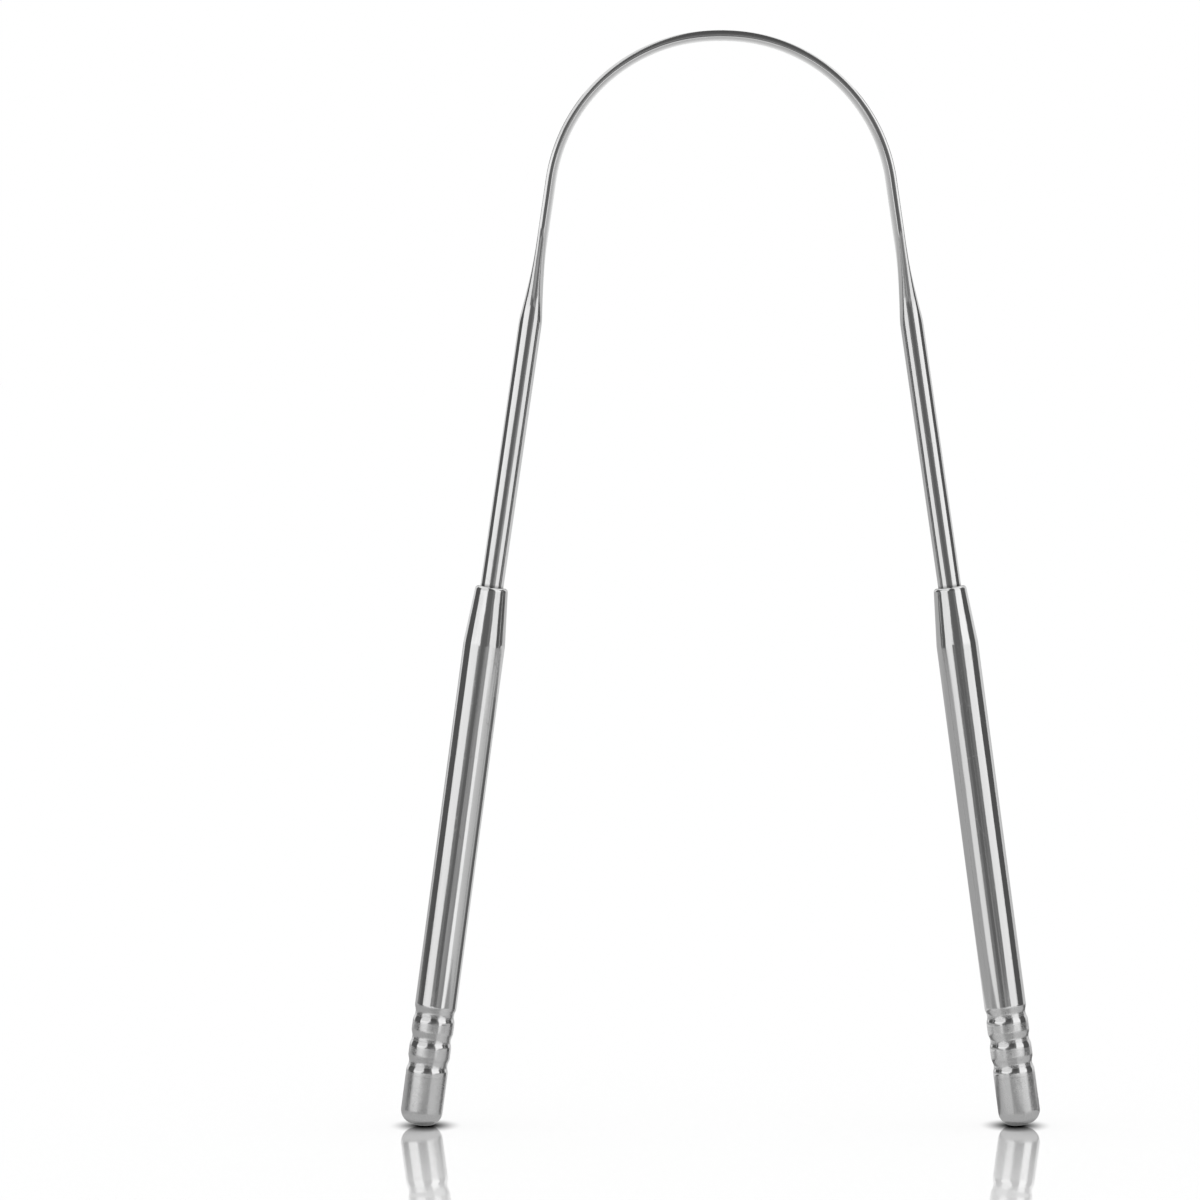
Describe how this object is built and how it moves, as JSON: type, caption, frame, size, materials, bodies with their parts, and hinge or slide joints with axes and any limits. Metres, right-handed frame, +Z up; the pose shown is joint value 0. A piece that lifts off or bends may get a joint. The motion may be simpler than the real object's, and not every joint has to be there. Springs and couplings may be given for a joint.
{
  "type": "tongue scraper",
  "caption": "U-shaped steel tongue scraper: a rod bent over to a pressed flat scraping crown, with its legs in slim tube handles that end in rolled grooves and domed plugs.",
  "frame": {"origin": "on the floor, midway between the two domed feet, with the scraper upright", "axes": "+Z up towards the crown, +X towards the right handle, and the front of the tool faces -Y"},
  "size_m": [0.0888, 0.0058, 0.152],
  "materials": {
    "blade_steel": "polished stainless rod",
    "handle_steel": "polished stainless tube",
    "plug_steel": "turned and tumbled stainless"
  },
  "bodies": {
    "root": {"scraper_bow": "blade_steel", "left_handle_tube": "handle_steel", "right_handle_tube": "handle_steel", "left_end_plug": "plug_steel", "right_end_plug": "plug_steel"}
  },
  "joints": []
}
